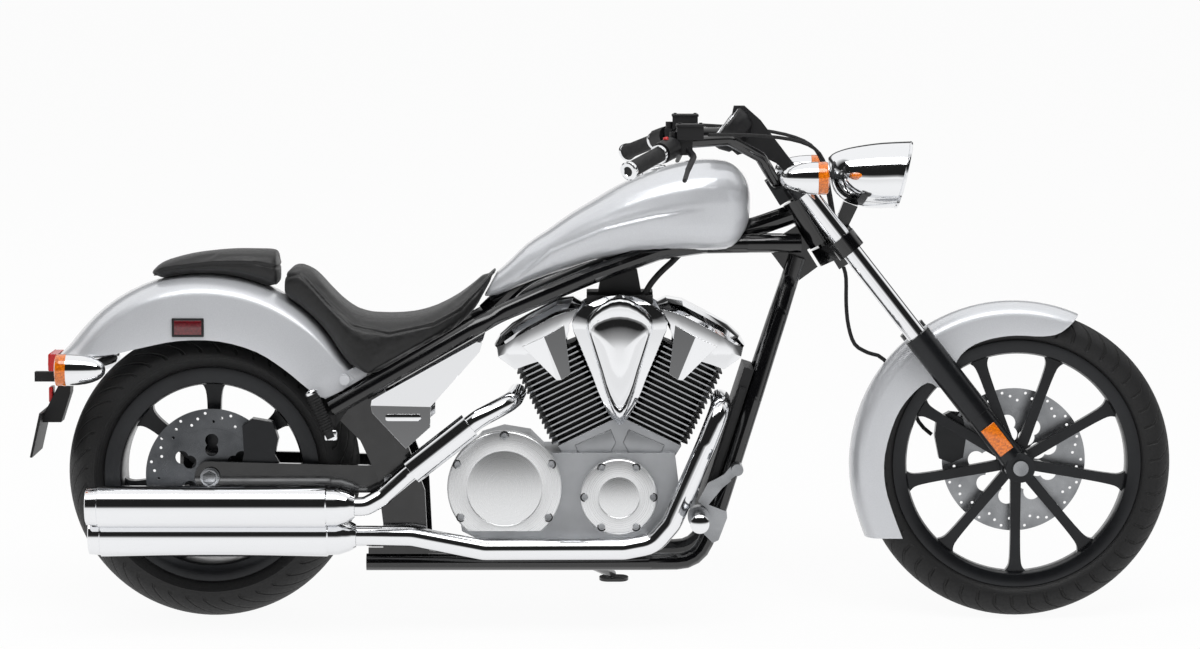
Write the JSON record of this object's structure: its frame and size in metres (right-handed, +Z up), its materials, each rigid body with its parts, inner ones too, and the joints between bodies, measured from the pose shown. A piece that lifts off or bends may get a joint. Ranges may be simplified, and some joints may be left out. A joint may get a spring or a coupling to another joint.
{
  "type": "chopper motorcycle",
  "caption": "Long-forked cruiser motorcycle with a V-twin engine and shaft drive, parked on its side stand; wheels, steering and stand move.",
  "frame": {"origin": "middle of the bounding box on the ground below the machine", "axes": "+X ahead, towards the front wheel; +Y to the rider's left; +Z up"},
  "size_m": [2.558, 0.9111, 1.1487],
  "materials": {
    "white_paint": "pearl white lacquer",
    "black_gloss": "gloss black enamel",
    "dark_alloy": "dark grey enamel over cast alloy",
    "chrome": "bright chrome plate",
    "satin_alloy": "satin and brushed aluminium",
    "steel": "ground steel",
    "rubber": "black rubber",
    "tyre": "black tyre rubber",
    "leather": "black grained leather",
    "black_plastic": "black plastic",
    "red_lens": "red lens"
  },
  "bodies": {
    "frame": {"steering_head": "black_gloss", "backbone": "black_gloss", "upper_rails": "black_gloss", "cradle_left": "black_gloss", "cradle_right": "black_gloss", "pivot_plates": "black_gloss", "swingarm": "black_gloss", "final_drive": "black_gloss", "rear_axle": "steel", "rear_caliper": "black_gloss", "crankcase": "satin_alloy", "right_engine_covers": "satin_alloy", "left_engine_covers": "satin_alloy", "cylinders": "black_gloss", "rocker_covers": "chrome", "intake_box": "black_plastic", "intake_covers": "chrome", "exhaust_pipes": "chrome", "mufflers": "chrome", "radiator": "black_plastic", "foot_controls": "satin_alloy", "passenger_pegs": "rubber", "side_covers": "satin_alloy", "fuel_tank": "white_paint", "rider_seat": "leather", "passenger_seat": "leather", "rear_fender": "white_paint", "tail_light": "red_lens", "rear_signals": "chrome", "plate_bracket": "black_plastic"},
    "rear_wheel": {"rear_tyre": "tyre", "rear_rim": "dark_alloy", "rear_disc": "steel"},
    "steering": {"steering_stem": "black_gloss", "upper_clamp": "satin_alloy", "fork_tubes": "chrome", "fork_sliders": "dark_alloy", "front_axle": "steel", "front_fender": "white_paint", "headlight": "chrome", "headlight_bracket": "black_gloss", "handlebar": "black_gloss", "grips": "rubber", "hand_controls": "black_plastic", "instrument_pod": "black_plastic", "front_signals": "chrome", "front_caliper": "black_gloss", "brake_hose": "rubber", "control_cables": "rubber"},
    "front_wheel": {"front_tyre": "tyre", "front_rim": "dark_alloy", "front_disc": "steel"},
    "stand": {"side_stand": "black_gloss"}
  },
  "joints": [
    {"name": "steering", "type": "hinge", "parent": "frame", "child": "steering", "pos_m": [0.4643, -0.0156, 0.88579], "axis": [-0.5296, 0.118, 0.84], "range_deg": [-29, 29]},
    {"name": "rear_wheel_spin", "type": "hinge", "parent": "frame", "child": "rear_wheel", "pos_m": [-0.87438, -0.09435, 0.32598], "axis": [-0.0001, 0.9903, -0.1392], "continuous": true},
    {"name": "front_wheel_spin", "type": "hinge", "parent": "steering", "child": "front_wheel", "pos_m": [0.93063, -0.09171, 0.34409], "axis": [-0.0001, 0.9903, -0.1392], "continuous": true},
    {"name": "side_stand_fold", "type": "hinge", "parent": "frame", "child": "stand", "pos_m": [-0.03448, 0.00435, 0.07952], "axis": [0.0473, 0.5067, 0.8608], "range_deg": [0, 95]}
  ]
}
